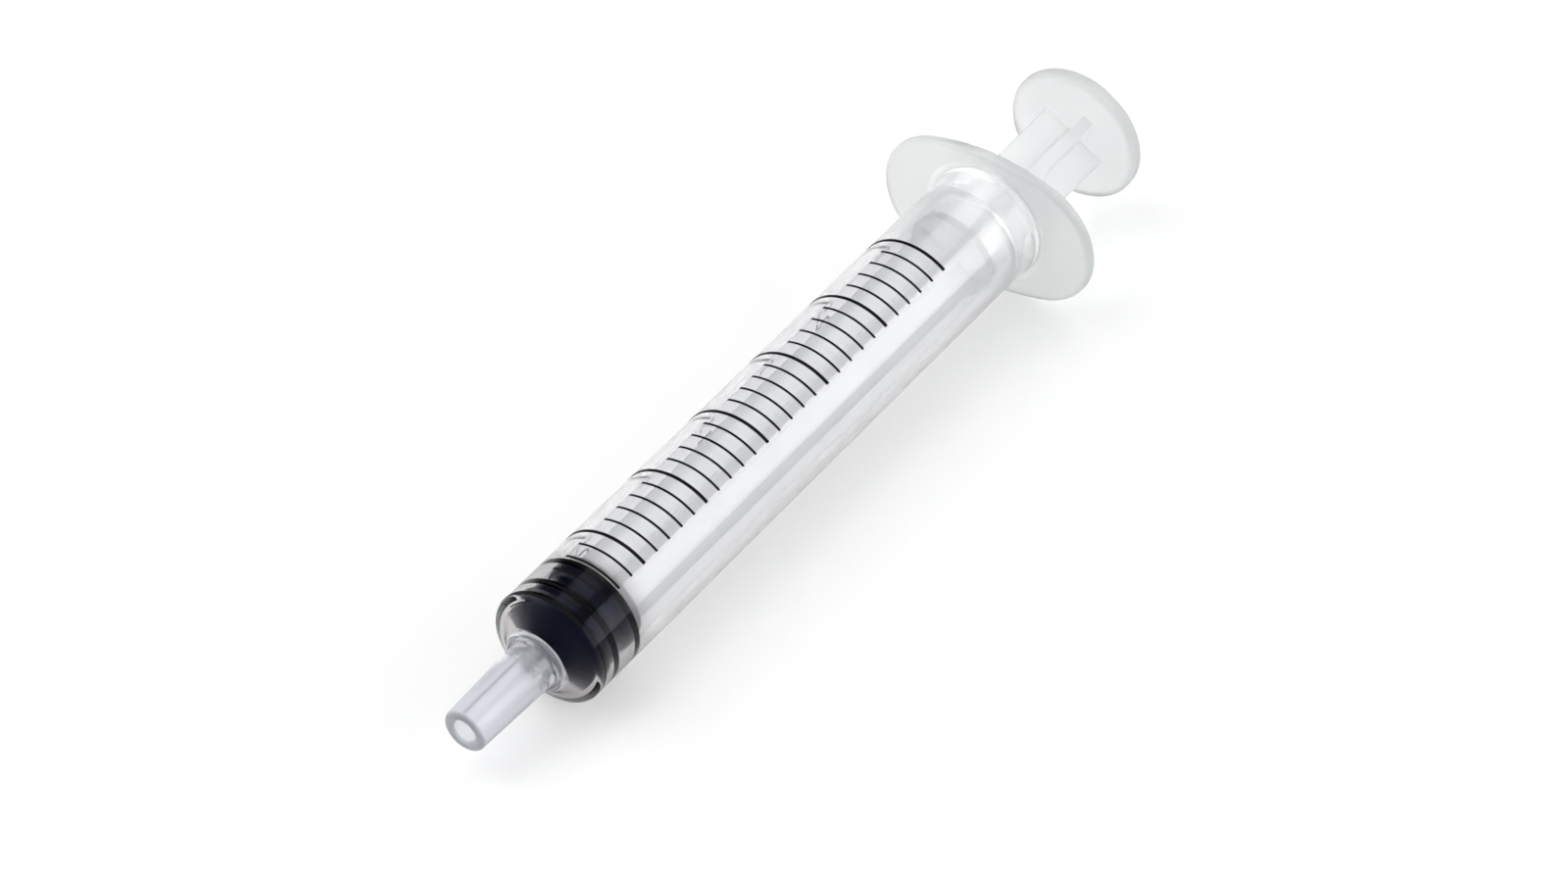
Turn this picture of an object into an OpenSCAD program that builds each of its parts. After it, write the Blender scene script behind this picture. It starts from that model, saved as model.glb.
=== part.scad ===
// Luer slip syringe, three pieces and a printed scale.
// The axis of the syringe lies along X, with the mouth of the slip tip at the origin
// and the thumb rest towards +X. +Z is up, and the two finger wings point along Y.
// Turned outlines are drawn as (radius, place along the axis).

/* [Slip tip] */
// Diameter of the slip tip at the gauge plane of its luer taper
luer_gauge_d = 3.97; // [3.93:0.01:4.05]
// Distance of the gauge plane from the mouth
luer_gauge_x = 0.75; // [0.5:0.05:1]
// Growth of the tip's diameter along its length, as a share of that length
luer_taper_share = 0.06; // [0.05:0.005:0.07]
// Length of the slip tip, from its mouth to the collar
nozzle_l = 9.15; // [7.5:0.05:11]
// Diameter of the fluid bore
bore_d = 2.1; // [1.2:0.1:2.6]
// Width and depth of the bevel at the mouth of the fluid bore
mouth_bevel = 0.25; // [0.1:0.05:0.35]
// Rounding of the outer edge of the tip
tip_round = 0.35; // [0.1:0.05:0.45]

/* [Front wall] */
// Outer diameter of the collar round the root of the tip
collar_d = 5.8; // [5.6:0.1:6.4]
// Width of the collar, whose crest is round
collar_w = 0.4; // [0.3:0.05:0.45]
// Height of the collar above the conical front wall
collar_h = 0.35; // [0.3:0.05:0.6]
// Depth of the groove between the collar and the tip
groove_h = 0.3; // [0.22:0.01:0.32]
// Slope of the conical front wall, in degrees from the plane across the axis
front_slope = 30; // [20:1:34]
// Thickness of the front wall
front_t = 1.15; // [0.9:0.05:1.4]
// Rounding where the front wall turns into the tube
front_round = 0.6; // [0.2:0.1:1]

/* [Barrel tube] */
// Diameter of the bore that the gasket runs in
tube_bore_d = 8.7; // [8.4:0.05:9]
// Wall of the barrel
barrel_wall = 0.95; // [0.8:0.05:1.2]
// Distance of the finger flange behind the last line of the scale
scale_margin = 10.9; // [9:0.1:14]
// Height of the round retaining ridge inside the barrel
ridge_h = 0.17; // [0.1:0.01:0.2]
// Radius of the retaining ridge's round back
ridge_r = 1; // [0.6:0.1:1.4]
// Distance of the retaining ridge from the front of the finger flange
ridge_gap = 2; // [1.6:0.1:4]
// Bevel of the barrel's open end
end_bevel = 0.4; // [0.2:0.05:0.6]

/* [Finger flange] */
// Width over both finger wings
flange_w = 21.2; // [19:0.1:24]
// Depth of the finger flange across its narrow way
flange_d = 14.5; // [14:0.1:16]
// Radius of the round ends of the wings
wing_r = 6.6; // [5.6:0.1:6.8]
// Thickness of the finger flange
flange_t = 1.2; // [1.1:0.1:2.2]
// Rounding of the rim of the finger flange
rim_round = 0.5; // [0.3:0.05:0.5]
// Rounding between the tube and the finger flange
root_round = 0.8; // [0.3:0.1:1]

/* [Printed scale] */
// Edge of a cube that holds the volume between two marks, a tenth of a millilitre
dose_edge = 4.6416; // [4.5:0.01:4.75]
// Number of steps from the zero line to the last line
mark_steps = 30; // [10:5:30]
// Steps from one long line to the next
steps_per_major = 5; // [2:1:10]
// Distance of the zero line ahead of the gasket's front seal at the end of its stroke
zero_lead = 0.45; // [0:0.05:0.6]
// Width of a long line
major_w = 0.33; // [0.2:0.01:0.5]
// Width of a short line
minor_w = 0.22; // [0.15:0.01:0.3]
// Thickness of the printed ink
ink_t = 0.03; // [0.02:0.01:0.05]
// Where all lines end, in degrees from the top towards -Y
scale_end = 38.8; // [20:0.1:60]
// Arc of a long line, in degrees
major_angle = 101; // [70:1:130]
// Arc of a short line, in degrees
minor_angle = 59.7; // [40:0.1:65]

/* [Gasket] */
// Running clearance between the gasket's seals and the barrel, on the radius
seal_clearance = 0.03; // [0.01:0.01:0.06]
// Gap between the gasket's cone and the front wall at the end of the stroke
home_gap = 0.15; // [0.1:0.05:0.4]
// Length of the gasket, from its front seal to its back
gasket_l = 4.75; // [4.6:0.05:6]
// Radius of the flat end of the gasket's cone
cone_end_r = 1.2; // [0.6:0.1:1.6]
// Width of the front seal's crest
front_seal_w = 0.35; // [0.2:0.05:0.5]
// Width of the middle and the rear seal's crests
seal_w = 0.75; // [0.5:0.05:0.9]
// Place of the middle seal's crest behind the front seal's edge
mid_seal_x = 1.25; // [1.15:0.05:1.4]
// Depth of the grooves between the seals
seal_groove_h = 0.42; // [0.2:0.02:0.5]
// Length of the slopes down from a seal to its groove
seal_slope = 0.25; // [0.1:0.05:0.3]

/* [Plunger rod] */
// Gap between the finger flange and the thumb rest at the end of the stroke
finger_gap = 12.1; // [8:0.1:16]
// Clearance between the discs that guide the rod and the retaining ridge, on the radius
disc_clearance = 0.13; // [0.05:0.01:0.3]
// Thickness of the guiding discs
disc_t = 0.8; // [0.5:0.1:1.2]
// Distance of the rear disc ahead of the finger flange at the end of the stroke
disc_lead = 6; // [5.5:0.1:12]
// Diameter over the tips of the four ribs
rib_span = 6.7; // [5.6:0.1:7.4]
// Thickness of a rib
rib_t = 1.1; // [0.8:0.1:1.4]
// Diameter of the round core where the ribs cross
core_d = 1.9; // [1.6:0.1:2.6]
// Turn of the ribs about the axis, in degrees from the top towards -Y
rod_turn = 33.5; // [0:0.5:90]
// Diameter of the thumb rest
thumb_d = 12.8; // [12:0.1:15]
// Thickness of the thumb rest
thumb_t = 1.6; // [1.5:0.1:2.4]
// Rounding of the rim of the thumb rest
thumb_round = 0.6; // [0.3:0.1:0.7]
// Number of grip rings on the back of the thumb rest
grip_rings = 3; // [0:1:4]
// Distance between two grip rings
grip_pitch = 1.4; // [1:0.1:1.5]
// Height of the grip rings
grip_h = 0.2; // [0.1:0.05:0.3]

/* [Snap head] */
// Diameter of the rod's head, which snaps into the gasket
head_d = 4.9; // [4.2:0.1:5]
// Length of the head
head_l = 2.1; // [1.8:0.1:2.2]
// Length of the neck behind the head
neck_l = 1.4; // [1.2:0.1:1.6]
// Diameter of the neck
neck_d = 3.2; // [2.6:0.1:3.4]
// Play between the head and the gasket's socket, all round
head_play = 0.05; // [0.02:0.01:0.1]

/* [Hidden] */
$fn = 96;
// Overrun of every cut past the face it opens
cut = 1;

// Slip tip
luer_gauge_r = luer_gauge_d / 2;
bore_r = bore_d / 2;
function nozzle_r(x) = luer_gauge_r + (x - luer_gauge_x) * luer_taper_share / 2;

// Front wall: places along the axis of its outer and inner cones at a radius
collar_r = collar_d / 2;
function front_x(r) = nozzle_l + collar_h + (r - collar_r) * tan(front_slope);
function inner_x(r) = front_x(r) + front_t / cos(front_slope);

// Barrel tube
tube_ir = tube_bore_d / 2;
tube_r = tube_ir + barrel_wall;

// Finger flange: an oval of four arcs
flange_a = flange_w / 2;
flange_b = flange_d / 2;
side_r = (flange_a * flange_a + flange_b * flange_b - 2 * flange_a * wing_r)
    / (2 * (flange_b - wing_r));
side_z = side_r - flange_b;
wing_y = flange_a - wing_r;
meet_z = flange_b;
meet_y = wing_y * (side_z + meet_z) / side_z;

// Gasket: x of its front seal's edge, and radii
seal_r = tube_ir - seal_clearance;
seal_groove_r = seal_r - seal_groove_h;
gasket_x = inner_x(seal_r) + home_gap;
gasket_end = gasket_x + gasket_l;
mid_seal_start = gasket_x + mid_seal_x;
rear_seal_start = gasket_end - seal_w;
cone_end_x = gasket_x - (seal_r - cone_end_r) * tan(front_slope);

// Printed scale, and the flange and the ridge behind its last line
zero_x = gasket_x - zero_lead;
mark_pitch = pow(dose_edge, 3) / (PI * tube_ir * tube_ir);
flange_x = zero_x + mark_steps * mark_pitch + scale_margin;
barrel_l = flange_x + flange_t;
ridge_x = flange_x - ridge_gap;

// Plunger rod
rod_x = gasket_end + head_play;
disc_r = tube_ir - ridge_h - disc_clearance;
rear_disc_x = flange_x - disc_lead;
thumb_x = barrel_l + finger_gap;
rod_end = thumb_x + thumb_t;
thumb_r = thumb_d / 2;
neck_x = rod_x - neck_l;
head_x = neck_x - head_l;
head_r = head_d / 2;
neck_r = neck_d / 2;

// Turns an outline of (radius, place along the axis) about the X axis
module turned(sweep = 360) {
    rotate([0, 90, 0])
        rotate_extrude(angle = sweep)
            children();
}

// A disc across the axis from x to x + t, with both edges of its rim rounded
module rounded_disc(x, r, t, edge) {
    translate([x, 0, 0])
        turned() {
            square([r - edge, t]);
            translate([0, edge])
                square([r, t - 2 * edge]);
            for (z = [edge, t - edge])
                translate([r - edge, z])
                    circle(r = edge, $fn = 32);
        }
}

// Outer form of the tip, its collar, the front wall and the tube
module barrel_outside() {
    lip_r = nozzle_r(tip_round) - tip_round;
    crest_r = collar_r - collar_w / 2;
    crest_x = nozzle_l + collar_w / 2;
    groove_x = nozzle_l + groove_h;
    edge_r = tube_r - front_round;
    edge_x = front_x(edge_r) + front_round / cos(front_slope);
    cone_r = edge_r + front_round * sin(front_slope);
    turned() {
        polygon([
            [0, 0],
            [lip_r, 0],
            [lip_r, tip_round],
            [nozzle_r(tip_round), tip_round],
            [nozzle_r(groove_x), groove_x],
            [collar_r - collar_w, groove_x],
            [collar_r - collar_w, crest_x],
            [collar_r, crest_x],
            [collar_r, front_x(collar_r)],
            [cone_r, front_x(cone_r)],
            [edge_r, edge_x],
            [tube_r, edge_x],
            [tube_r, barrel_l - flange_t / 2],
            [0, barrel_l - flange_t / 2]
        ]);
        translate([lip_r, tip_round])
            circle(r = tip_round, $fn = 32);
        translate([crest_r, crest_x])
            circle(r = collar_w / 2, $fn = 32);
        translate([edge_r, edge_x])
            circle(r = front_round, $fn = 48);
        difference() {
            translate([tube_r - barrel_wall / 2, flange_x - root_round])
                square([root_round + barrel_wall / 2, root_round + flange_t / 2]);
            translate([tube_r + root_round, flange_x - root_round])
                circle(r = root_round, $fn = 48);
        }
    }
}

// Oval finger flange: two wide arcs along its sides and a round wing at each end, which
// meet where a line from the centre of a side's arc passes through the centre of a wing
module finger_flange() {
    intersection() {
        translate([0, 0, -side_z])
            rounded_disc(flange_x, side_r, flange_t, rim_round, $fn = 180);
        translate([0, 0, side_z])
            rounded_disc(flange_x, side_r, flange_t, rim_round, $fn = 180);
        translate([flange_x, 0, 0])
            rotate([90, 0, 90])
                linear_extrude(flange_t)
                    polygon([
                        [wing_y, 0],
                        [meet_y, meet_z],
                        [-meet_y, meet_z],
                        [-wing_y, 0],
                        [-meet_y, -meet_z],
                        [meet_y, -meet_z]
                    ]);
    }
    for (side = [-1, 1])
        translate([0, side * wing_y, 0])
            rounded_disc(flange_x, wing_r, flange_t, rim_round);
}

// Fluid bore, the cone behind the front wall and the bore that the gasket runs in
module barrel_inside() {
    turned()
        difference() {
            polygon([
                [0, -cut],
                [bore_r + mouth_bevel, -cut],
                [bore_r + mouth_bevel, 0],
                [bore_r, mouth_bevel],
                [bore_r, inner_x(bore_r)],
                [tube_ir, inner_x(tube_ir)],
                [tube_ir, barrel_l - end_bevel],
                [tube_ir + end_bevel, barrel_l],
                [tube_ir + end_bevel, barrel_l + cut],
                [0, barrel_l + cut]
            ]);
            translate([tube_ir - ridge_h + ridge_r, ridge_x])
                circle(r = ridge_r, $fn = 48);
        }
}

// Barrel: one clear moulding from the slip tip to the finger flange
module barrel() {
    color([0.93, 0.94, 0.95, 0.35])
        difference() {
            union() {
                barrel_outside();
                finger_flange();
            }
            barrel_inside();
        }
}

// One printed line across the tube, centred on its place along the axis
module mark(step, w, arc) {
    rotate([180 + scale_end - arc, 0, 0])
        turned(arc)
            translate([tube_r, zero_x + step * mark_pitch - w / 2])
                square([ink_t, w]);
}

// Long lines of the scale, one for every fifth step
module major_marks() {
    color("black")
        for (step = [0 : steps_per_major : mark_steps])
            mark(step, major_w, major_angle);
}

// Short lines of the scale, between the long ones
module minor_marks() {
    color("black")
        for (step = [0 : mark_steps])
            if (step % steps_per_major != 0)
                mark(step, minor_w, minor_angle);
}

// Outline of the rod's snap head and neck up to its tail, grown by the play on every side
module head_outline(play, tail) {
    polygon([
        [0, head_x - play],
        [neck_r + play, head_x - play],
        [head_r + play, head_x + head_l / 2],
        [head_r + play, neck_x + play],
        [neck_r + play, neck_x + play],
        [neck_r + play, tail],
        [0, tail]
    ]);
}

// Rubber gasket: a cone in front, three seals with grooves between, and a socket behind
module gasket() {
    color([0.07, 0.07, 0.1])
        turned()
            difference() {
                polygon([
                    [0, cone_end_x],
                    [cone_end_r, cone_end_x],
                    [seal_r, gasket_x],
                    [seal_r, gasket_x + front_seal_w],
                    [seal_groove_r, gasket_x + front_seal_w + seal_slope],
                    [seal_groove_r, mid_seal_start - seal_slope],
                    [seal_r, mid_seal_start],
                    [seal_r, mid_seal_start + seal_w],
                    [seal_groove_r, mid_seal_start + seal_w + seal_slope],
                    [seal_groove_r, rear_seal_start - seal_slope],
                    [seal_r, rear_seal_start],
                    [seal_r, gasket_end],
                    [0, gasket_end]
                ]);
                head_outline(head_play, gasket_end + cut);
            }
}

// Four ribs round a core, from the front disc to the thumb rest
module ribs() {
    length = thumb_x + thumb_t / 2 - rod_x;
    rotate([rod_turn, 0, 0])
        intersection() {
            for (turn = [0, 90])
                rotate([turn, 0, 0])
                    translate([rod_x, -rib_t / 2, -rib_span / 2])
                        cube([length, rib_t, rib_span]);
            translate([rod_x, 0, 0])
                rotate([0, 90, 0])
                    cylinder(d = rib_span, h = length);
        }
    translate([rod_x, 0, 0])
        rotate([0, 90, 0])
            cylinder(d = core_d, h = length);
}

// Thumb rest with low grip rings on its back
module thumb_rest() {
    rounded_disc(thumb_x, thumb_r, thumb_t, thumb_round);
    translate([rod_end, 0, 0])
        turned()
            for (ring = [1 : 1 : grip_rings])
                translate([ring * grip_pitch, 0])
                    circle(r = grip_h, $fn = 24);
}

// Plunger rod: snap head, guiding discs, ribs and thumb rest in one milky moulding
module plunger_rod() {
    color([0.9, 0.91, 0.92]) {
        turned()
            head_outline(0, rod_x + disc_t / 2);
        for (x = [rod_x, rear_disc_x])
            translate([x, 0, 0])
                rotate([0, 90, 0])
                    cylinder(r = disc_r, h = disc_t);
        ribs();
        thumb_rest();
    }
}

barrel();
major_marks();
minor_marks();
gasket();
plunger_rod();
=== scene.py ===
"""Luer slip syringe: finishes, fine meshes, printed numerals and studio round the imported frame.

All sizes in the classes are in millimetres. The syringe's axis is X, with the mouth of the
slip tip at the origin, and angles about the axis run from the top (+Z) towards -Y.
"""

import logging
import math
from dataclasses import dataclass, field
from enum import Enum

import bmesh
import bpy
from mathutils import Matrix, Vector


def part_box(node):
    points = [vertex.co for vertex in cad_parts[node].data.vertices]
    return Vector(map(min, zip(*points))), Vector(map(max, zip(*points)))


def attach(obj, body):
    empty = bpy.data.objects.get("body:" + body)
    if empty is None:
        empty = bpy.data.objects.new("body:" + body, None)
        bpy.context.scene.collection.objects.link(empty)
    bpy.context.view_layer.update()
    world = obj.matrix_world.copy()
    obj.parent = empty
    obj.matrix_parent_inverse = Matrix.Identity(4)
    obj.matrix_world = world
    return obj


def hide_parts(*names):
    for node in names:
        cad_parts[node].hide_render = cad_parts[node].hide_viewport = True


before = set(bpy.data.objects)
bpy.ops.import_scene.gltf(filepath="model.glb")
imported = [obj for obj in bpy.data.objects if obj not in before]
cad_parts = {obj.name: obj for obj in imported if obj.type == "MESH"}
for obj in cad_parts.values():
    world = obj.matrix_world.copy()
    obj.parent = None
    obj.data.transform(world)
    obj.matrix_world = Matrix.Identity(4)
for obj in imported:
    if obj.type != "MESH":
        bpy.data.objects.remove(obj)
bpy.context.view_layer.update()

MM = 0.001
WHITE = "ffffff"
# Octaves of noise in a fine even grain and in soft clouds.
GRAIN_DETAIL = 2.0
CLOUD_DETAIL = 3.0
# Depth of the moulded grain.
GRAIN_DEPTH = 0.02
# A point nearer to the axis than this lies on it.
ON_AXIS = 1e-6

log = logging.getLogger("syringe")


class Zone(Enum):
    """Surface of the barrel mould that a face was formed against, with its material number."""

    POLISHED = 0
    SATIN = 1
    TEXTURED = 2
    BORE = 3


class Rubber(Enum):
    """State of the gasket's surface, with its material number."""

    OILED = 0
    WETTED = 1


def linear(hex_colour: str) -> tuple[float, float, float, float]:
    """Turns an sRGB hex colour into Blender's linear colour.

    Args:
        hex_colour: Six hex digits, such as "f2f4f5".

    Returns:
        Linear red, green and blue, and an alpha of 1.
    """
    channels = [int(hex_colour[i : i + 2], 16) / 255 for i in (0, 2, 4)]
    toned = [c / 12.92 if c <= 0.04045 else ((c + 0.055) / 1.055) ** 2.4 for c in channels]
    return (toned[0], toned[1], toned[2], 1.0)


def add_node(
    tree: bpy.types.NodeTree,
    kind: str,
    inputs: dict[str | int, object] | None = None,
    **settings: object,
) -> bpy.types.Node:
    """Adds a node with its settings, its values and its links.

    Args:
        tree: The node tree to add it to.
        kind: Blender's name for the type of node.
        inputs: A value, or an output socket to link, for each input by name or number.
        settings: Attributes to set on the node.

    Returns:
        The new node.
    """
    node = tree.nodes.new(kind)
    for name, value in settings.items():
        setattr(node, name, value)
    for socket, value in (inputs or {}).items():
        if isinstance(value, bpy.types.NodeSocket):
            tree.links.new(value, node.inputs[socket])
        else:
            node.inputs[socket].default_value = value
    return node


def new_material(name: str) -> tuple[bpy.types.Material, bpy.types.NodeTree]:
    """Makes an empty node material.

    Args:
        name: The material's name.

    Returns:
        The material and its node tree.
    """
    material = bpy.data.materials.new(name)
    material.use_nodes = True
    material.node_tree.nodes.clear()
    return material, material.node_tree


def position_mm(tree: bpy.types.NodeTree) -> bpy.types.NodeSocket:
    """Adds nodes that give the place on the object in millimetres.

    Args:
        tree: The node tree to add them to.

    Returns:
        The socket of the place.
    """
    place = add_node(tree, "ShaderNodeTexCoord").outputs["Object"]
    scaled = add_node(
        tree, "ShaderNodeVectorMath", {0: place, "Scale": 1 / MM}, operation="SCALE"
    )
    return scaled.outputs["Vector"]


@dataclass(frozen=True)
class MouldFinish:
    """What one zone of the mould leaves on the clear plastic.

    Each pair runs from where the zone is smoothest to where it is most frosted. A share is of
    the light that goes through clear, and the rest is scattered as milk.
    """

    colour: str
    roughness: tuple[float, float]
    clear_share: tuple[float, float]
    grain: float
    bump: float
    hazy_share: float | None = None
    # Painted shade: a grey body tint round the gasket's home place, or None.
    painted_front_shade: str | None = None


# The real grain is 0.01 to 0.05 mm, too fine to show, so it is drawn coarser on the satin and
# the textured faces. The polished faces have the slow ripple of a moulded wall instead.
MOULD_FINISHES = {
    # The polished faces carry a grey body tint in front, which is painted shade.
    Zone.POLISHED: MouldFinish(
        "fefeff", (0.01, 0.2), (1.0, 0.85), 2.5, 0.004, hazy_share=0.82, painted_front_shade="c2bebf"
    ),
    Zone.SATIN: MouldFinish("e6e8ef", (0.08, 0.28), (0.67, 0.76), 0.3, 0.15),
    Zone.TEXTURED: MouldFinish("f7f9f8", (0.4, 0.5), (0.87, 0.81), 0.18, 0.3),
    Zone.BORE: MouldFinish("fefeff", (0.01, 0.2), (1.0, 0.75), 2.5, 0.004, hazy_share=0.86),
}


@dataclass(frozen=True)
class ClearPolypropylene:
    """Clarified polypropylene, injection moulded against polished, satin or textured steel.

    It gives the eye a water-clear wall round the gasket's home place, where a grey body tint and
    a dark gloss tint are painted shade that keeps the gasket black. Further back a faint milky
    haze lifts whatever lies behind the wall, and towards the flange it turns to frost.
    The luer cone is satin, the collar slightly milky and the flange pale and grained.
    """

    zone: Zone
    ior: float = 1.49
    # Painted shade: a dark tint on the wall's gloss round the gasket's home place, so the gasket
    # stays black.
    painted_shade_sheen: str = "3c3f46"
    cloud: float = 6.0
    cloud_reach: float = 3.0
    cloud_share: float = 0.04
    # Where the painted shade in front fades out and the haze comes in.
    shade_to_haze_from: float = 15.5
    shade_to_haze_to: float = 18.5
    frost_from: float = 56.0
    frost_to: float = 71.0
    satin_from: float = 11.0
    satin_to: float = 9.0

    def haze(
        self,
        tree: bpy.types.NodeTree,
        place: bpy.types.NodeSocket,
        cloud: bpy.types.NodeSocket,
    ) -> tuple[bpy.types.NodeSocket, dict[str, bpy.types.NodeSocket]]:
        """Adds nodes for the wall's change from clear with painted shade in front to hazy behind.

        Args:
            tree: The material's node tree.
            place: The place on the object in millimetres.
            cloud: The cloud pattern.

        Returns:
            The share of light that goes through clear, and the painted shade tints of the gloss
            and, where given, of the body, which fade out along with it.
        """
        finish = MOULD_FINISHES[self.zone]
        along = add_node(tree, "ShaderNodeSeparateXYZ", {"Vector": place}).outputs["X"]
        back = add_node(
            tree,
            "ShaderNodeMapRange",
            {"Value": along, "From Min": self.shade_to_haze_from, "From Max": self.shade_to_haze_to},
            interpolation_type="SMOOTHSTEP",
        ).outputs["Result"]
        hazy = add_node(
            tree,
            "ShaderNodeMapRange",
            {
                "Value": cloud,
                "To Min": finish.hazy_share + self.cloud_share,
                "To Max": finish.hazy_share - self.cloud_share,
            },
        )
        share = add_node(
            tree,
            "ShaderNodeMapRange",
            {"Value": back, "To Min": finish.clear_share[0], "To Max": hazy.outputs["Result"]},
        )
        # Painted shade: the gloss is tinted dark in front and turns white further back.
        sheen = add_node(
            tree,
            "ShaderNodeMix",
            {"Factor": back, "A": linear(self.painted_shade_sheen), "B": linear(WHITE)},
            data_type="RGBA",
        )
        changes = {"Specular Tint": sheen.outputs["Result"]}
        # Painted shade: the body is tinted grey in front and turns to its own colour further
        # back.
        if finish.painted_front_shade:
            body = add_node(
                tree,
                "ShaderNodeMix",
                {"Factor": back, "A": linear(finish.painted_front_shade), "B": linear(finish.colour)},
                data_type="RGBA",
            )
            changes["Base Color"] = body.outputs["Result"]
        return share.outputs["Result"], changes

    def frosting(
        self,
        tree: bpy.types.NodeTree,
        place: bpy.types.NodeSocket,
        cloud: bpy.types.NodeSocket,
    ) -> bpy.types.NodeSocket:
        """Adds nodes that run from 0 where the zone is smoothest to 1 where it is most frosted.

        Args:
            tree: The material's node tree.
            place: The place on the object in millimetres.
            cloud: The cloud pattern.

        Returns:
            The socket of the result.
        """
        if self.zone is Zone.TEXTURED:
            return cloud
        satin = self.zone is Zone.SATIN
        along = add_node(tree, "ShaderNodeSeparateXYZ", {"Vector": place}).outputs["X"]
        wavering = add_node(
            tree,
            "ShaderNodeMath",
            {0: cloud, 1: self.cloud_reach, 2: along},
            operation="MULTIPLY_ADD",
        )
        ramp = add_node(
            tree,
            "ShaderNodeMapRange",
            {
                "Value": wavering.outputs[0],
                "From Min": self.satin_from if satin else self.frost_from,
                "From Max": self.satin_to if satin else self.frost_to,
            },
            interpolation_type="LINEAR" if satin else "SMOOTHSTEP",
        )
        return ramp.outputs["Result"]

    def material(self) -> bpy.types.Material:
        """Makes the material.

        Returns:
            The new material.
        """
        finish = MOULD_FINISHES[self.zone]
        material, tree = new_material(f"polypropylene_clear_{self.zone.name.lower()}")
        place = position_mm(tree)
        cloud = add_node(
            tree,
            "ShaderNodeTexNoise",
            {"Vector": place, "Scale": 1 / self.cloud, "Detail": CLOUD_DETAIL},
        ).outputs["Fac"]
        clear, changes = finish.clear_share[0], {}
        if finish.hazy_share:
            clear, changes = self.haze(tree, place, cloud)
        frosting = self.frosting(tree, place, cloud)
        share = add_node(
            tree,
            "ShaderNodeMapRange",
            {"Value": frosting, "To Min": clear, "To Max": finish.clear_share[1]},
        )
        smooth, frosted = finish.roughness
        roughness = add_node(
            tree, "ShaderNodeMapRange", {"Value": frosting, "To Min": smooth, "To Max": frosted}
        )
        grain = add_node(
            tree,
            "ShaderNodeTexNoise",
            {"Vector": place, "Scale": 1 / finish.grain, "Detail": GRAIN_DETAIL},
        )
        relief = add_node(
            tree,
            "ShaderNodeBump",
            {
                "Height": grain.outputs["Fac"],
                "Strength": finish.bump,
                "Distance": GRAIN_DEPTH * MM,
            },
        )
        shader = add_node(
            tree,
            "ShaderNodeBsdfPrincipled",
            {
                "Base Color": linear(finish.colour),
                "IOR": self.ior,
                "Roughness": roughness.outputs["Result"],
                "Transmission Weight": share.outputs["Result"],
                "Normal": relief.outputs["Normal"],
                **changes,
            },
        )
        add_node(tree, "ShaderNodeOutputMaterial", {"Surface": shader.outputs["BSDF"]})
        return material


@dataclass(frozen=True)
class MilkyPolypropylene:
    """Natural polypropylene, injection moulded against a fine spark-eroded steel.

    It gives the eye a soft milk-white body that light passes through, with a dull sheen. The
    real grain is about 0.05 mm, and it is drawn coarser so that it shows.
    """

    colour: str = "fcfdfd"
    ior: float = 1.49
    roughness: float = 0.6
    clear_share: tuple[float, float] = (0.88, 0.78)
    scatter: float = 10.0
    grain: float = 0.2
    bump: float = 0.2
    cloud: float = 4.0

    def material(self) -> bpy.types.Material:
        """Makes the material.

        Returns:
            The new material.
        """
        material, tree = new_material("polypropylene_milky_moulded")
        place = position_mm(tree)
        grain = add_node(
            tree,
            "ShaderNodeTexNoise",
            {"Vector": place, "Scale": 1 / self.grain, "Detail": GRAIN_DETAIL},
        )
        relief = add_node(
            tree,
            "ShaderNodeBump",
            {
                "Height": grain.outputs["Fac"],
                "Strength": self.bump,
                "Distance": GRAIN_DEPTH * MM,
            },
        )
        cloud = add_node(
            tree,
            "ShaderNodeTexNoise",
            {"Vector": place, "Scale": 1 / self.cloud, "Detail": CLOUD_DETAIL},
        )
        clearest, milkiest = self.clear_share
        share = add_node(
            tree,
            "ShaderNodeMapRange",
            {"Value": cloud.outputs["Fac"], "To Min": clearest, "To Max": milkiest},
        )
        shader = add_node(
            tree,
            "ShaderNodeBsdfPrincipled",
            {
                "Base Color": linear(self.colour),
                "IOR": self.ior,
                "Roughness": self.roughness,
                "Transmission Weight": share.outputs["Result"],
                "Subsurface Weight": 1.0,
                "Subsurface Scale": self.scatter * MM,
                "Subsurface Radius": (1.0, 1.0, 1.0),
                "Normal": relief.outputs["Normal"],
            },
        )
        add_node(tree, "ShaderNodeOutputMaterial", {"Surface": shader.outputs["BSDF"]})
        return material


@dataclass(frozen=True)
class ButylRubber:
    """Black butyl rubber, compression moulded and wiped with silicone oil.

    It gives the eye a near-black body with a cool gloss in slow patches of oil. Where a seal
    is pressed wet against the barrel no air is left to reflect, so it turns fully black.
    """

    state: Rubber
    oiled_colour: str = "0b0d1e"
    wetted_colour: str = "020204"
    gloss_tint: str = "a8acff"
    gloss_level: float = 0.12
    ior: float = 1.52
    roughness: tuple[float, float] = (0.08, 0.2)
    oil_patch: float = 1.2

    def material(self) -> bpy.types.Material:
        """Makes the material.

        Returns:
            The new material.
        """
        wetted = self.state is Rubber.WETTED
        material, tree = new_material(f"butyl_rubber_{self.state.name.lower()}")
        oil = add_node(
            tree,
            "ShaderNodeTexNoise",
            {
                "Vector": position_mm(tree),
                "Scale": 1 / self.oil_patch,
                "Detail": CLOUD_DETAIL,
            },
        )
        smooth, dull = self.roughness
        roughness = add_node(
            tree,
            "ShaderNodeMapRange",
            {"Value": oil.outputs["Fac"], "To Min": smooth, "To Max": dull},
        )
        shader = add_node(
            tree,
            "ShaderNodeBsdfPrincipled",
            {
                "Base Color": linear(self.wetted_colour if wetted else self.oiled_colour),
                "IOR": self.ior,
                "Roughness": roughness.outputs["Result"],
                "Specular IOR Level": 0.0 if wetted else self.gloss_level,
                "Specular Tint": linear(self.gloss_tint),
            },
        )
        add_node(tree, "ShaderNodeOutputMaterial", {"Surface": shader.outputs["BSDF"]})
        return material


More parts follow.
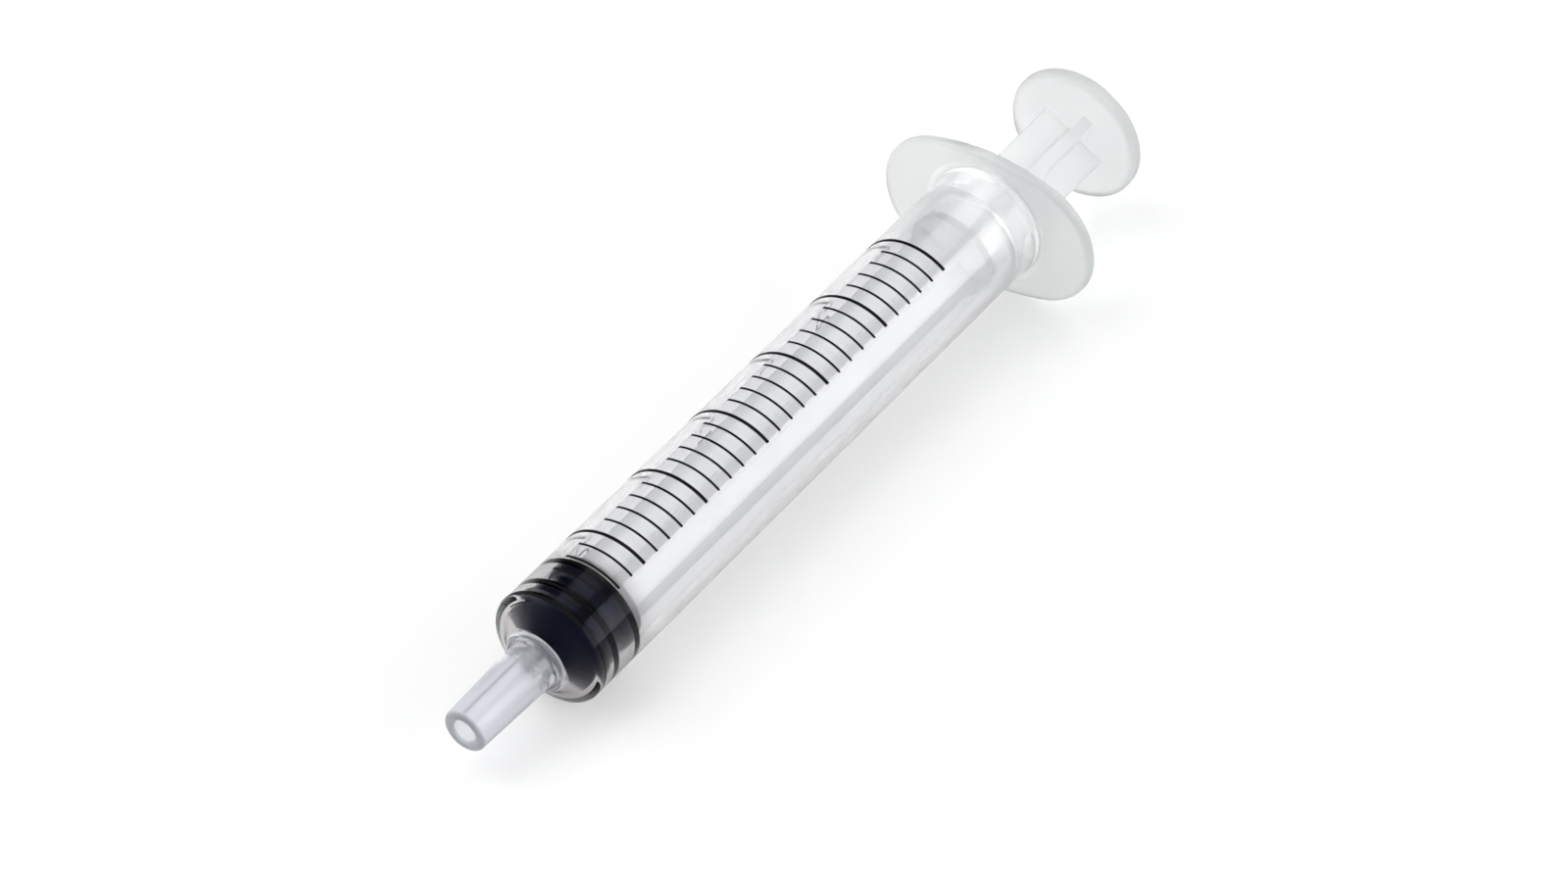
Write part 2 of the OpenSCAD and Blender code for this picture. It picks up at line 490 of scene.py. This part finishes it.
@dataclass(frozen=True)
class PrintedInk:
    """Black pad-printed ink, dried to a thin even film.

    It gives the eye a dense black with a slight sheen and tiny thin spots, which are drawn
    coarser than the real 0.05 mm so that they show.
    """

    colour: str = "040405"
    thin_colour: str = "0a0a0c"
    roughness: float = 0.5
    gloss_level: float = 0.08
    spot: float = 0.15

    def material(self) -> bpy.types.Material:
        """Makes the material.

        Returns:
            The new material.
        """
        material, tree = new_material("ink_pad_printed_black")
        film = add_node(
            tree,
            "ShaderNodeTexNoise",
            {"Vector": position_mm(tree), "Scale": 1 / self.spot, "Detail": GRAIN_DETAIL},
        )
        tone = add_node(
            tree,
            "ShaderNodeMix",
            {
                "Factor": film.outputs["Fac"],
                "A": linear(self.colour),
                "B": linear(self.thin_colour),
            },
            data_type="RGBA",
        )
        shader = add_node(
            tree,
            "ShaderNodeBsdfPrincipled",
            {
                "Base Color": tone.outputs["Result"],
                "Roughness": self.roughness,
                "Specular IOR Level": self.gloss_level,
            },
        )
        add_node(tree, "ShaderNodeOutputMaterial", {"Surface": shader.outputs["BSDF"]})
        return material


@dataclass
class Outline:
    """Turned outline, whose points are a radius, a place along the axis and a mark for the rim.

    Points on the rim have an inset from the flange's oval outline in place of the radius.
    """

    points: list[tuple[float, float, bool]] = field(default_factory=list)
    zones: list[int] = field(default_factory=list)

    def add(self, r: float, x: float, zone: int, rim: bool = False) -> None:
        """Adds one point and the zone of the band that leads on from it."""
        self.points.append((r, x, rim))
        self.zones.append(zone)

    def line(
        self, start: tuple[float, float], end: tuple[float, float], steps: int, zone: int
    ) -> None:
        """Adds a straight stretch, without its end point.

        Args:
            start: Radius and place of its first point.
            end: Radius and place where it ends.
            steps: How many bands it has.
            zone: Zone of its bands.
        """
        for i in range(steps):
            share = i / steps
            self.add(
                start[0] + (end[0] - start[0]) * share,
                start[1] + (end[1] - start[1]) * share,
                zone,
            )

    def arc(
        self,
        centre: tuple[float, float],
        radius: float,
        start_deg: float,
        end_deg: float,
        steps: int,
        zone: int,
        rim: bool = False,
    ) -> None:
        """Adds a round stretch, without its end point.

        Args:
            centre: Radius, or inset, and place of its centre.
            radius: Radius of the arc.
            start_deg: Angle of its first point, where 0 points outwards and 90 along +X.
            end_deg: Angle where it ends.
            steps: How many bands it has.
            zone: Zone of its bands.
            rim: Whether it lies on the flange's rim, where insets grow inwards.
        """
        for i in range(steps):
            angle = math.radians(start_deg + (end_deg - start_deg) * i / steps)
            out = radius * math.cos(angle)
            r = centre[0] - out if rim else centre[0] + out
            self.add(r, centre[1] + radius * math.sin(angle), zone, rim)


@dataclass
class Oval:
    """Oval outline of the finger flange, made of two wide arcs and two round wings."""

    half_width: float
    half_depth: float
    wing_r: float = 6.6

    def reach(self, angle: float, inset: float) -> float:
        """Distance from the axis to the outline, drawn in by the inset.

        Args:
            angle: Direction about the axis, in radians from +Z.
            inset: How far the outline is drawn in.

        Returns:
            The distance in that direction.
        """
        a, b, w = self.half_width, self.half_depth, self.wing_r
        side_r = (a * a + b * b - 2 * a * w) / (2 * (b - w))
        side_z = side_r - b
        wing_y = a - w
        y, z = abs(math.sin(angle)), abs(math.cos(angle))
        meet = math.atan2(wing_y + w * wing_y / (side_r - w), w * side_z / (side_r - w))
        if math.atan2(y, z) < meet:
            r = side_r - inset
            return -side_z * z + math.sqrt(side_z * side_z * z * z + r * r - side_z * side_z)
        r = w - inset
        return wing_y * y + math.sqrt(wing_y * wing_y * y * y + r * r - wing_y * wing_y)


def turn(
    name: str,
    outline: Outline,
    materials: list[bpy.types.Material],
    around: int,
    closed: bool = True,
    oval: Oval | None = None,
) -> bpy.types.Object:
    """Turns an outline about the syringe's axis into one smooth closed mesh.

    Args:
        name: Name of the new piece.
        outline: The outline, which runs with its solid on the left.
        materials: Materials by zone number.
        around: Number of faces round the axis.
        closed: Whether the outline's end joins its start; otherwise both ends are on the axis.
        oval: Outline of the rim, where the outline has points on it.

    Returns:
        The new object.
    """
    verts, faces, zones = [], [], []
    rings = []
    for r, x, rim in outline.points:
        if not rim and r < ON_AXIS:
            rings.append([len(verts)])
            verts.append((x * MM, 0.0, 0.0))
            continue
        ring = []
        for k in range(around):
            angle = 2 * math.pi * k / around
            reach = oval.reach(angle, r) if rim else r
            ring.append(len(verts))
            verts.append((x * MM, -reach * math.sin(angle) * MM, reach * math.cos(angle) * MM))
        rings.append(ring)
    count = len(rings)
    for i in range(count if closed else count - 1):
        a, b = rings[i], rings[(i + 1) % count]
        for k in range(around):
            n = (k + 1) % around
            if len(a) == 1:
                faces.append((a[0], b[n], b[k]))
            elif len(b) == 1:
                faces.append((a[k], a[n], b[0]))
            else:
                faces.append((a[k], a[n], b[n], b[k]))
            zones.append(outline.zones[i])
    mesh = bpy.data.meshes.new(name)
    mesh.from_pydata(verts, [], faces)
    for material in materials:
        mesh.materials.append(material)
    mesh.polygons.foreach_set("material_index", zones)
    mesh.polygons.foreach_set("use_smooth", [True] * len(faces))
    mesh.update()
    piece = bpy.data.objects.new(name, mesh)
    bpy.context.scene.collection.objects.link(piece)
    # The largest faces rule the normals, so that flat and straight faces stay even in gloss.
    smooth = piece.modifiers.new("flat_faces_first", "WEIGHTED_NORMAL")
    smooth.weight = 100
    return piece


@dataclass
class Barrel:
    """The clear moulding: slip tip, collar, conical front wall, tube and finger flange.

    The luer cone has the diameter gauge_d at gauge_x and grows by taper_share of its length.
    A band of the width zone_seam parts two zones that meet on one flat face.
    """

    gauge_d: float = 3.97
    gauge_x: float = 0.75
    taper_share: float = 0.06
    nozzle_l: float = 9.15
    bore_r: float = 1.05
    mouth_bevel: float = 0.25
    tip_round: float = 0.35
    collar_r: float = 2.9
    collar_w: float = 0.4
    collar_h: float = 0.35
    groove_h: float = 0.3
    front_slope: float = 30.0
    front_t: float = 1.15
    front_round: float = 0.6
    tube_ir: float = 4.35
    tube_r: float = 5.3
    ridge_h: float = 0.17
    ridge_r: float = 1.0
    ridge_gap: float = 2.0
    end_bevel: float = 0.4
    flange_t: float = 1.2
    rim_round: float = 0.5
    root_round: float = 0.8
    zone_seam: float = 0.01
    around: int = 256

    @property
    def back(self) -> float:
        """Place of the barrel's open end, from the frame."""
        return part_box("barrel")[1].x / MM

    @property
    def flange_x(self) -> float:
        """Place of the finger flange's front face."""
        return self.back - self.flange_t

    @property
    def slope(self) -> float:
        """Slope of the front wall, in radians."""
        return math.radians(self.front_slope)

    def nozzle_r(self, x: float) -> float:
        """Radius of the luer cone at a place along the axis."""
        return self.gauge_d / 2 + (x - self.gauge_x) * self.taper_share / 2

    def front_x(self, r: float) -> float:
        """Place of the outer front cone at a radius."""
        return self.nozzle_l + self.collar_h + (r - self.collar_r) * math.tan(self.slope)

    def inner_x(self, r: float) -> float:
        """Place of the inner front cone at a radius."""
        return self.front_x(r) + self.front_t / math.cos(self.slope)

    def add_tip(self, o: Outline) -> None:
        """Adds the mouth, the luer cone, the snap groove and the collar.

        Args:
            o: The outline to add to.
        """
        satin = Zone.SATIN.value
        mouth = (self.bore_r + self.mouth_bevel, 0.0)
        lip = self.nozzle_r(self.tip_round) - self.tip_round
        o.line((self.bore_r, self.mouth_bevel), mouth, 3, satin)
        o.line(mouth, (lip, 0.0), 3, satin)
        o.arc((lip, self.tip_round), self.tip_round, -90, 0, 8, satin)
        groove_x = self.nozzle_l + self.groove_h
        groove_r = self.collar_r - self.collar_w
        cone_end = (self.nozzle_r(groove_x), groove_x)
        o.line((self.nozzle_r(self.tip_round), self.tip_round), cone_end, 24, satin)
        o.line(cone_end, (groove_r, groove_x), 2, satin)
        crest = self.collar_w / 2
        crest_x = self.nozzle_l + crest
        o.line((groove_r, groove_x), (groove_r, crest_x), 1, satin)
        o.arc((self.collar_r - crest, crest_x), crest, -180, 0, 12, satin)
        root = (self.collar_r, self.front_x(self.collar_r))
        o.line((self.collar_r, crest_x), root, 2, satin)

    def add_tube(self, o: Outline) -> None:
        """Adds the outside of the front wall and the tube, up to the flange's front face.

        Args:
            o: The outline to add to.
        """
        clear = Zone.POLISHED.value
        edge_r = self.tube_r - self.front_round
        edge_x = self.front_x(edge_r) + self.front_round / math.cos(self.slope)
        cone_r = edge_r + self.front_round * math.sin(self.slope)
        root = (self.collar_r, self.front_x(self.collar_r))
        o.line(root, (cone_r, self.front_x(cone_r)), 8, clear)
        o.arc((edge_r, edge_x), self.front_round, self.front_slope - 90, 0, 10, clear)
        fillet_x = self.flange_x - self.root_round
        fillet_r = self.tube_r + self.root_round
        o.line((self.tube_r, edge_x), (self.tube_r, fillet_x), 60, clear)
        o.arc((fillet_r, fillet_x), self.root_round, 180, 90, 10, clear)

    def add_flange(self, o: Outline) -> None:
        """Adds the finger flange with its round rim, and the bevel of the open end.

        Args:
            o: The outline to add to.
        """
        clear, grain = Zone.POLISHED.value, Zone.TEXTURED.value
        root_r = self.tube_r + self.root_round
        o.line((root_r, self.flange_x), (root_r + self.zone_seam, self.flange_x), 1, grain)
        rim = self.rim_round
        o.arc((rim, self.flange_x + rim), rim, -90, 0, 8, grain, rim=True)
        o.arc((rim, self.back - rim), rim, 0, 90, 8, grain, rim=True)
        o.add(rim, self.back, grain, rim=True)
        mouth_r = self.tube_ir + self.end_bevel
        o.line((mouth_r + self.zone_seam, self.back), (mouth_r, self.back), 1, clear)
        o.line((mouth_r, self.back), (self.tube_ir, self.back - self.end_bevel), 4, clear)

    def add_bore(self, o: Outline) -> None:
        """Adds the inside: the tube with its retaining ridge, the front cone and the tip's bore.

        Args:
            o: The outline to add to.
        """
        bore = Zone.BORE.value
        tube_ir = self.tube_ir
        ridge_x = self.flange_x - self.ridge_gap
        ridge_centre = tube_ir - self.ridge_h + self.ridge_r
        half = math.degrees(math.acos((ridge_centre - tube_ir) / self.ridge_r))
        half_w = self.ridge_r * math.sin(math.radians(half))
        o.line((tube_ir, self.back - self.end_bevel), (tube_ir, ridge_x + half_w), 6, bore)
        o.arc((ridge_centre, ridge_x), self.ridge_r, 180 - half, 180 + half, 12, bore)
        front = (tube_ir, self.inner_x(tube_ir))
        tip = (self.bore_r, self.inner_x(self.bore_r))
        o.line((tube_ir, ridge_x - half_w), front, 60, bore)
        o.line(front, tip, 8, bore)
        o.line(tip, (self.bore_r, self.mouth_bevel), 20, bore)

    def outline(self) -> Outline:
        """Lays out the moulding's closed outline, from the mouth outwards and back inside.

        Returns:
            The outline, with the zone of each band.
        """
        o = Outline()
        self.add_tip(o)
        self.add_tube(o)
        self.add_flange(o)
        self.add_bore(o)
        return o

    def build(self) -> bpy.types.Object:
        """Builds the moulding in place of its node.

        Returns:
            The new object.
        """
        finishes = [ClearPolypropylene(zone).material() for zone in Zone]
        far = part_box("barrel")[1] / MM
        rim = Oval(far.y, far.z)
        piece = turn("barrel_moulding", self.outline(), finishes, self.around, oval=rim)
        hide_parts("barrel")
        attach(piece, "barrel")
        return piece


@dataclass
class Scale:
    """The printed lines, which are nodes, and the numerals beside the long lines.

    A digit is digit_share of the font's size high. A numeral reads round the tube and ends at
    end_deg about the axis, with its middle offset_x behind its line.
    """

    step: float = 1.68219
    steps_per_numeral: int = 5
    labels: tuple[str, ...] = ("0.5", "1", "1.5", "2", "2.5", "3")
    line_w: float = 0.33
    digit_h: float = 2.0
    digit_share: float = 0.7
    curve_steps: int = 6
    tube_r: float = 5.3
    ink_t: float = 0.03
    sunk: float = 0.01
    weld: float = 1e-4
    bend_step: float = 0.2
    end_deg: float = -64.5
    offset_x: float = 1.3

    @property
    def zero_x(self) -> float:
        """Place of the zero line, from the frame."""
        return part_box("major_marks")[0].x / MM + self.line_w / 2

    def flat_numeral(self, name: str, label: str) -> bpy.types.Mesh:
        """Makes one numeral as a flat solid, in millimetres.

        Args:
            name: Name of the mesh.
            label: The number.

        Returns:
            The mesh.
        """
        curve = bpy.data.curves.new(name, "FONT")
        curve.body = label
        curve.size = self.digit_h / self.digit_share
        curve.resolution_u = self.curve_steps
        curve.extrude = self.ink_t / 2
        flat = bpy.data.objects.new(name + "_flat", curve)
        bpy.context.scene.collection.objects.link(flat)
        bpy.context.view_layer.update()
        evaluated = flat.evaluated_get(bpy.context.evaluated_depsgraph_get())
        mesh = bpy.data.meshes.new_from_object(evaluated)
        bpy.data.objects.remove(flat)
        mesh.name = name
        return mesh

    def numeral(self, label: str, x: float, ink: bpy.types.Material) -> bpy.types.Object:
        """Prints one numeral on the tube, sunk a little so that no air is left under it.

        Args:
            label: The number.
            x: Place of its long line along the axis.
            ink: Material of the print.

        Returns:
            The new object.
        """
        name = "numeral_" + label.replace(".", "_")
        mesh = self.flat_numeral(name, label)
        width = max(v.co.x for v in mesh.vertices)
        solid = bmesh.new()
        solid.from_mesh(mesh)
        bmesh.ops.remove_doubles(solid, verts=solid.verts[:], dist=self.weld)
        for i in range(1, math.ceil(width / self.bend_step)):
            bmesh.ops.bisect_plane(
                solid,
                geom=solid.verts[:] + solid.edges[:] + solid.faces[:],
                plane_co=(i * self.bend_step, 0.0, 0.0),
                plane_no=(1.0, 0.0, 0.0),
            )
        for v in solid.verts:
            angle = math.radians(self.end_deg) - (width - v.co.x) / self.tube_r
            r = (self.tube_r - self.sunk + self.ink_t / 2 + v.co.z) * MM
            up = x + self.offset_x + (v.co.y - self.digit_h / 2)
            v.co = Vector((up * MM, -r * math.sin(angle), r * math.cos(angle)))
        solid.to_mesh(mesh)
        solid.free()
        mesh.materials.clear()
        mesh.materials.append(ink)
        piece = bpy.data.objects.new(name, mesh)
        bpy.context.scene.collection.objects.link(piece)
        return piece

    def build(self) -> list[bpy.types.Object]:
        """Dresses the lines and prints the numerals.

        Returns:
            The numerals.
        """
        ink = PrintedInk().material()
        for node in ("major_marks", "minor_marks"):
            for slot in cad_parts[node].material_slots:
                slot.material = ink
        pieces = []
        for i, label in enumerate(self.labels):
            x = self.zero_x + (i + 1) * self.steps_per_numeral * self.step
            piece = self.numeral(label, x, ink)
            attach(piece, "barrel")
            pieces.append(piece)
        return pieces


@dataclass
class Gasket:
    """The rubber gasket: a cone, three seals pressed against the tube, and the grooves.

    The crests reach into the barrel's wall by press, so that no air shows between them, as
    where wet rubber is squeezed flat.
    """

    tube_ir: float = 4.35
    press: float = 0.004
    cone_end_r: float = 1.2
    cone_round: float = 0.1
    cone_inset_r: float = 0.05
    cone_inset_x: float = 0.03
    front_slope: float = 30.0
    front_w: float = 0.35
    seal_w: float = 0.75
    mid_x: float = 1.25
    groove_h: float = 0.42
    slope_w: float = 0.25
    edge: float = 0.06
    socket_r: float = 1.65
    around: int = 192

    def add_seal(self, o: Outline, x: float, width: float, groove_r: float) -> None:
        """Adds one seal: a round shoulder, the wetted crest and a round shoulder.

        Args:
            o: The outline to add to.
            x: Place of the crest's front edge.
            width: Width of the crest.
            groove_r: Radius of the groove that follows it.
        """
        oiled, wetted = Rubber.OILED.value, Rubber.WETTED.value
        top, e = self.tube_ir + self.press, self.edge
        o.arc((top - e, x + e), e, -60, 0, 4, oiled)
        o.line((top, x + e), (top, x + width - e), 3, wetted)
        o.arc((top - e, x + width - e), e, 0, 60, 4, oiled)
        o.line((top - e, x + width), (groove_r, x + width + self.slope_w), 3, oiled)

    def add_rear(self, o: Outline, x: float, end: float) -> None:
        """Adds the rear seal and the flat end with the edge of its socket.

        Args:
            o: The outline to add to.
            x: Place of the seal's front edge.
            end: Place of the gasket's end.
        """
        oiled, wetted = Rubber.OILED.value, Rubber.WETTED.value
        top, e = self.tube_ir + self.press, self.edge
        o.arc((top - e, x + e), e, -60, 0, 4, oiled)
        o.line((top, x + e), (top, end - e), 3, wetted)
        o.arc((top - e, end - e), e, 0, 90, 4, oiled)
        o.line((top - e, end), (self.socket_r, end), 3, oiled)
        o.line((self.socket_r, end), (0.0, end), 1, oiled)
        o.add(0.0, end, oiled)

    def outline(self, start: float, end: float, seal_r: float) -> Outline:
        """Lays out the gasket's outline, from the axis in front to the axis behind.

        Args:
            start: Place of the cone's end.
            end: Place of the gasket's end.
            seal_r: Radius of the seals in the solids.

        Returns:
            The outline, with the state of each band.
        """
        oiled = Rubber.OILED.value
        rise = (seal_r - self.cone_end_r) * math.tan(math.radians(self.front_slope))
        front = start + rise
        mid = front + self.mid_x
        rear = end - self.seal_w
        groove_r = seal_r - self.groove_h
        tip_r = self.cone_end_r - self.cone_round
        o = Outline()
        o.line((0.0, start), (tip_r, start), 3, oiled)
        o.arc((tip_r, start + self.cone_round), self.cone_round, -90, -60, 3, oiled)
        o.line(
            (self.cone_end_r, start + self.cone_inset_x),
            (seal_r - self.cone_inset_r, front - self.cone_inset_x),
            8,
            oiled,
        )
        self.add_seal(o, front, self.front_w, groove_r)
        foot = front + self.front_w + self.slope_w
        o.line((groove_r, foot), (groove_r, mid - self.slope_w), 2, oiled)
        o.line((groove_r, mid - self.slope_w), (seal_r, mid), 3, oiled)
        self.add_seal(o, mid, self.seal_w, groove_r)
        foot = mid + self.seal_w + self.slope_w
        o.line((groove_r, foot), (groove_r, rear - self.slope_w), 2, oiled)
        o.line((groove_r, rear - self.slope_w), (seal_r, rear), 3, oiled)
        self.add_rear(o, rear, end)
        return o

    def build(self) -> bpy.types.Object:
        """Builds the gasket in place of its node.

        Returns:
            The new object.
        """
        low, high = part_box("gasket")
        o = self.outline(low.x / MM, high.x / MM, high.z / MM)
        finishes = [ButylRubber(state).material() for state in Rubber]
        piece = turn("gasket_moulding", o, finishes, self.around, closed=False)
        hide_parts("gasket")
        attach(piece, "gasket")
        return piece


@dataclass
class PlungerRod:
    """The milky rod, whose node keeps its shape."""

    def build(self) -> bpy.types.Object:
        """Dresses the rod's node.

        Returns:
            The node.
        """
        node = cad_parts["plunger_rod"]
        finish = MilkyPolypropylene().material()
        for slot in node.material_slots:
            slot.material = finish
        return node


@dataclass
class Softbox:
    """Square soft lamp that faces the middle of the syringe.

    Its compass angle runs from +X over +Y, and its radiance is 1 where it would show as white.
    """

    name: str
    compass_deg: float
    height_deg: float
    radiance: float
    width: float = 500.0
    distance: float = 740.0
    aim_x: float = 44.0

    def hang(self) -> bpy.types.Object:
        """Hangs the lamp in its place.

        Returns:
            The lamp.
        """
        light = bpy.data.lights.new(self.name, "AREA")
        light.size = self.width * MM
        light.energy = self.radiance * math.pi * light.size**2
        lamp = bpy.data.objects.new(self.name, light)
        compass, rise = math.radians(self.compass_deg), math.radians(self.height_deg)
        flat = math.cos(rise)
        away = Vector((flat * math.cos(compass), flat * math.sin(compass), math.sin(rise)))
        lamp.location = (Vector((self.aim_x, 0.0, 0.0)) + away * self.distance) * MM
        lamp.rotation_mode = "QUATERNION"
        lamp.rotation_quaternion = (-away).to_track_quat("-Z", "Y")
        bpy.context.scene.collection.objects.link(lamp)
        return lamp


@dataclass
class Studio:
    """White table, soft lamps, pale surroundings and the camera of the photograph.

    The table touches the barrel's front edge and the flange, so it leans by a small share of
    its length. One soft patch of the room is darker, so that the wet gasket mirrors it.
    """

    camera_place: tuple[float, float, float] = (-231.65, -213.07, 322.02)
    camera_right: tuple[float, float, float] = (0.58229, -0.81194, -0.04040)
    camera_down: tuple[float, float, float] = (-0.57212, -0.37394, -0.72993)
    camera_forward: tuple[float, float, float] = (0.5776, 0.4481, -0.6823)
    lens: float = 131.68
    sensor: float = 36.0
    clip_m: tuple[float, float] = (0.01, 10.0)
    rest_x: float = 11.2
    rest_z: float = -5.3
    lean_share: float = 0.0314
    table_width: float = 3000.0
    table_colour: str = "c0c0c0"
    table_roughness: float = 0.6
    table_glow: float = 0.44
    sky: str = "f4f6f8"
    sky_light: float = 0.33
    sky_seen: float = 1.0
    mirror_share: float = 0.6
    dim_sky: str = "202228"
    dim_way: tuple[float, float, float] = (0.63, 0.6, 0.49)
    dim_deg: tuple[float, float] = (10.0, 34.0)
    clear_bounces: int = 32
    diffuse_bounces: int = 10
    lamps: tuple[Softbox, ...] = (
        Softbox("left_softbox", 90.0, 30.0, 2.1),
        Softbox("front_left_softbox", 135.0, 30.0, 1.4),
        Softbox("high_left_softbox", 120.0, 60.0, 2.7),
        Softbox("top_softbox", 0.0, 62.0, 1.5),
        Softbox("right_softbox", 270.0, 30.0, 0.4),
        # The tube mirrors this one as the long white streak on its right side.
        Softbox("back_right_softbox", 310.0, 19.5, 4.0),
    )

    def seen(self, tree: bpy.types.NodeTree) -> bpy.types.NodeSocket:
        """Adds nodes that give 1 to what is seen straight or through plastic.

        What is seen mirrored gets a smaller share, and what only lights the object gets 0.

        Args:
            tree: The node tree to add them to.

        Returns:
            The socket of the result.
        """
        paths = add_node(tree, "ShaderNodeLightPath").outputs
        mirrored = add_node(
            tree,
            "ShaderNodeMath",
            {0: paths["Is Glossy Ray"], 1: self.mirror_share},
            operation="MULTIPLY",
        )
        straight = add_node(
            tree,
            "ShaderNodeMath",
            {0: paths["Is Camera Ray"], 1: mirrored.outputs[0]},
            operation="MAXIMUM",
        )
        either = add_node(
            tree,
            "ShaderNodeMath",
            {0: straight.outputs[0], 1: paths["Is Transmission Ray"]},
            operation="MAXIMUM",
        )
        return either.outputs[0]

    def table(self) -> bpy.types.Object:
        """Lays the white table under the finger flange and the barrel's front edge.

        Returns:
            The table.
        """
        half = self.table_width / 2
        corners = []
        for x, y in ((-half, -half), (half, -half), (half, half), (-half, half)):
            z = self.rest_z - self.lean_share * (x - self.rest_x)
            corners.append((x * MM, y * MM, z * MM))
        mesh = bpy.data.meshes.new("table")
        mesh.from_pydata(corners, [], [(0, 1, 2, 3)])
        material, tree = new_material("laminate_white_satin")
        glow = add_node(
            tree,
            "ShaderNodeMath",
            {0: self.seen(tree), 1: self.table_glow},
            operation="MULTIPLY",
        )
        shader = add_node(
            tree,
            "ShaderNodeBsdfPrincipled",
            {
                "Base Color": linear(self.table_colour),
                "Roughness": self.table_roughness,
                "Emission Color": linear(WHITE),
                "Emission Strength": glow.outputs[0],
            },
        )
        add_node(tree, "ShaderNodeOutputMaterial", {"Surface": shader.outputs["BSDF"]})
        mesh.materials.append(material)
        table = bpy.data.objects.new("table", mesh)
        bpy.context.scene.collection.objects.link(table)
        return table

    def surroundings(self) -> None:
        """Gives the world an even pale light with one darker patch."""
        world = bpy.data.worlds.new("pale_room")
        world.use_nodes = True
        tree = world.node_tree
        tree.nodes.clear()
        strength = add_node(
            tree,
            "ShaderNodeMapRange",
            {"Value": self.seen(tree), "To Min": self.sky_light, "To Max": self.sky_seen},
        )
        way = add_node(tree, "ShaderNodeTexCoord").outputs["Generated"]
        nearness = add_node(
            tree, "ShaderNodeVectorMath", {0: way, 1: self.dim_way}, operation="DOT_PRODUCT"
        )
        dimmest, plain = (math.cos(math.radians(angle)) for angle in self.dim_deg)
        dim = add_node(
            tree,
            "ShaderNodeMapRange",
            {"Value": nearness.outputs["Value"], "From Min": plain, "From Max": dimmest},
            interpolation_type="SMOOTHSTEP",
        )
        wall = add_node(
            tree,
            "ShaderNodeMix",
            {"Factor": dim.outputs["Result"], "A": linear(self.sky), "B": linear(self.dim_sky)},
            data_type="RGBA",
        )
        room = add_node(
            tree,
            "ShaderNodeBackground",
            {"Color": wall.outputs["Result"], "Strength": strength.outputs["Result"]},
        )
        add_node(tree, "ShaderNodeOutputWorld", {"Surface": room.outputs["Background"]})
        bpy.context.scene.world = world

    def camera(self) -> None:
        """Sets the camera where the photograph was taken from."""
        data = bpy.data.cameras.new("camera")
        data.lens = self.lens
        data.sensor_width = self.sensor
        data.clip_start, data.clip_end = self.clip_m
        camera = bpy.data.objects.new("camera", data)
        right, down, forward = (
            Vector(way).normalized()
            for way in (self.camera_right, self.camera_down, self.camera_forward)
        )
        turned = Matrix((right, -down, -forward)).transposed()
        place = Matrix.Translation(Vector(self.camera_place) * MM)
        camera.matrix_world = place @ turned.to_4x4()
        bpy.context.scene.collection.objects.link(camera)
        bpy.context.scene.camera = camera

    def build(self) -> None:
        """Sets up the whole studio, with light enough to cross every clear face."""
        self.camera()
        self.table()
        self.surroundings()
        for lamp in self.lamps:
            lamp.hang()
        scene = bpy.context.scene
        scene.view_settings.view_transform = "Standard"
        scene.cycles.max_bounces = self.clear_bounces
        scene.cycles.transmission_bounces = self.clear_bounces
        scene.cycles.diffuse_bounces = self.diffuse_bounces


def main() -> None:
    """Builds the syringe and its studio, and reports each piece."""
    logging.basicConfig(level=logging.INFO, format="%(name)s: %(message)s")
    Studio().build()
    pieces = [Barrel().build(), *Scale().build(), Gasket().build(), PlungerRod().build()]
    for piece in pieces:
        log.info("%s: %d faces", piece.name, len(piece.data.polygons))


if __name__ == "__main__":
    main()
